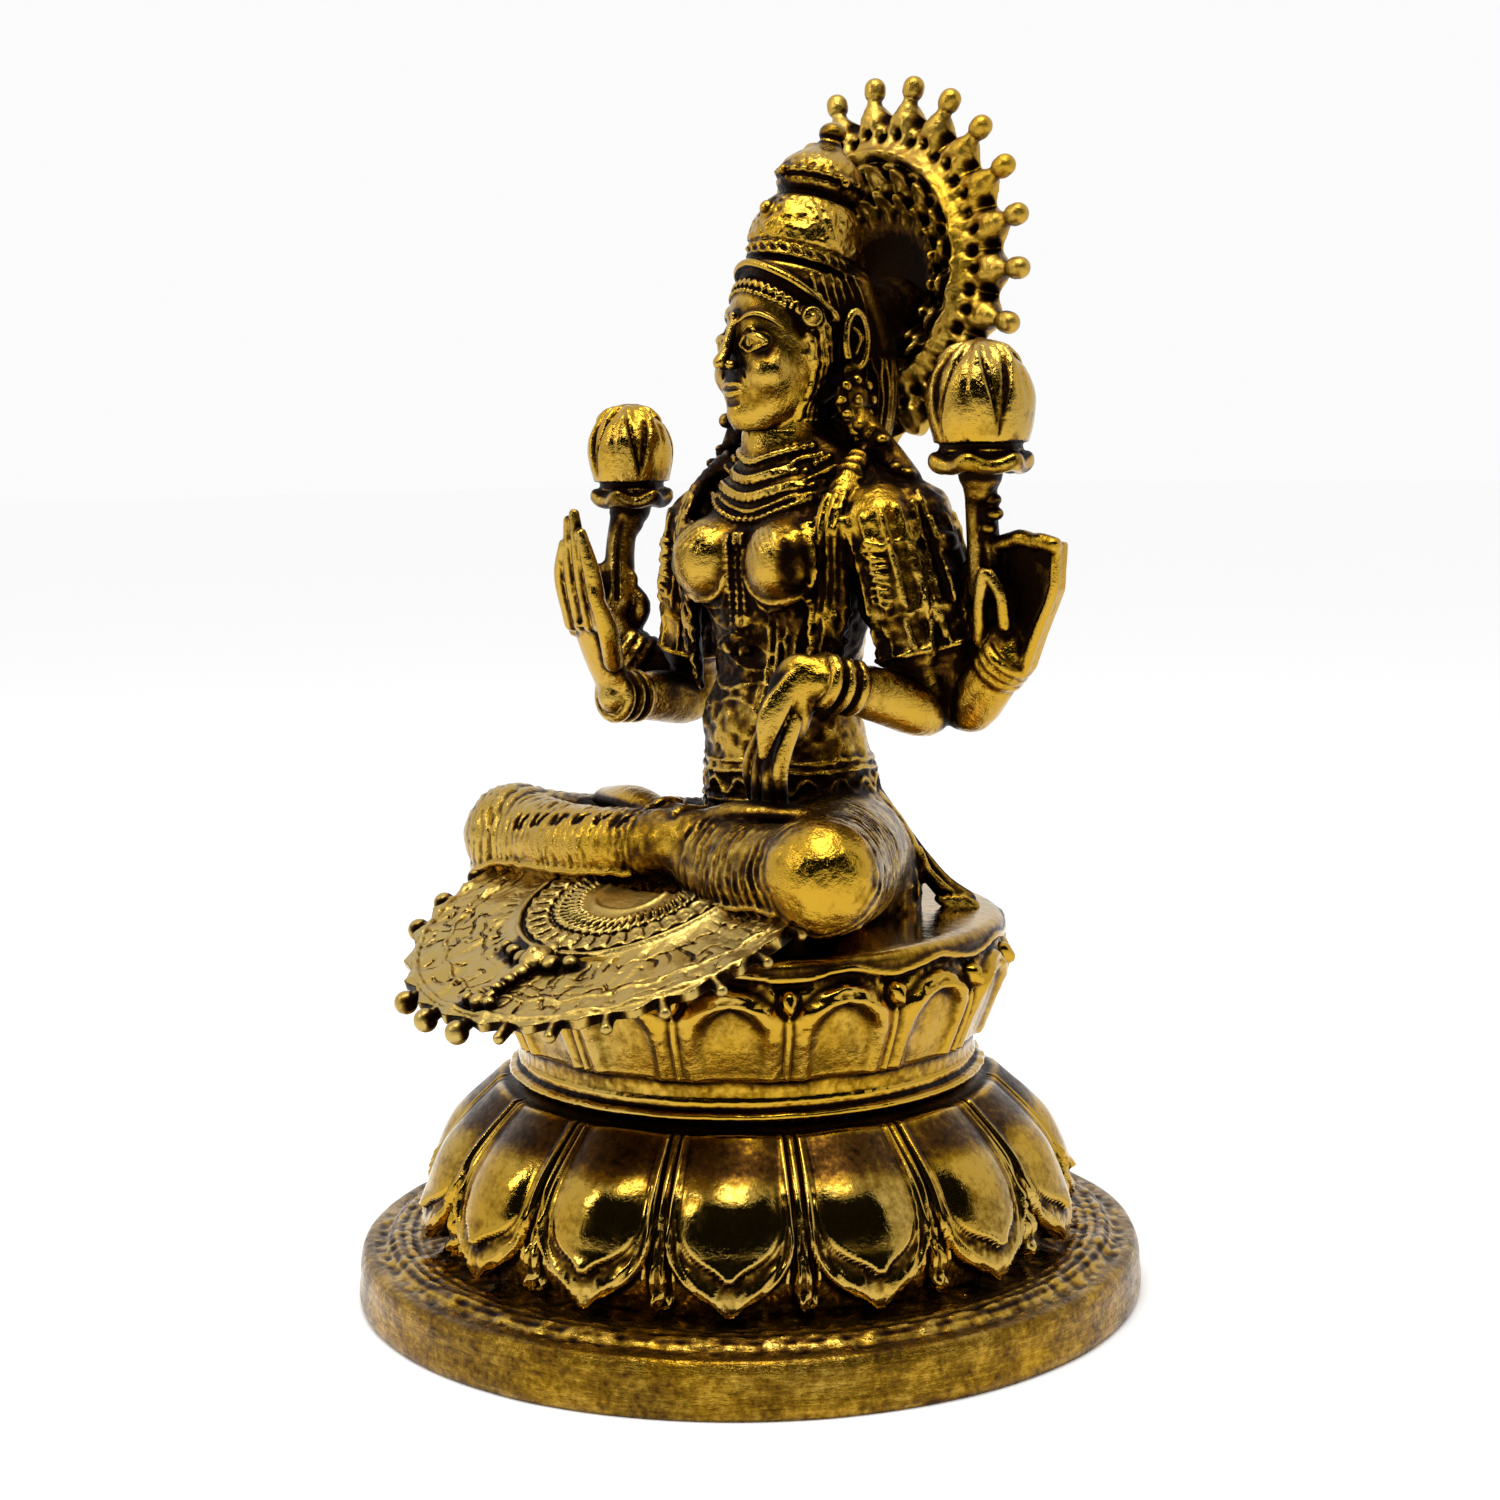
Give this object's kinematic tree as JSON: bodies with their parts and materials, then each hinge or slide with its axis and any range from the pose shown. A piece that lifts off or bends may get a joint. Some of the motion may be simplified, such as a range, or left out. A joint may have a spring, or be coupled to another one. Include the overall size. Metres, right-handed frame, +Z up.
{
  "type": "lakshmi figure",
  "caption": "Small cast brass figure of Lakshmi, cross-legged on a round double lotus plinth, with raised lotus buds, a halo of knobs and a fanned skirt; it stands on its flat underside.",
  "frame": {"origin": "centre of the plinth's flat underside", "axes": "+Z up along the plinth's axis; the figure faces -Y, so her left side is +X"},
  "size_m": [0.0486, 0.0486, 0.0748],
  "materials": {
    "brass": "polished yellow brass with dark brown tone left in the carving"
  },
  "bodies": {
    "root": {"lakshmi_figure": "brass"}
  },
  "joints": []
}
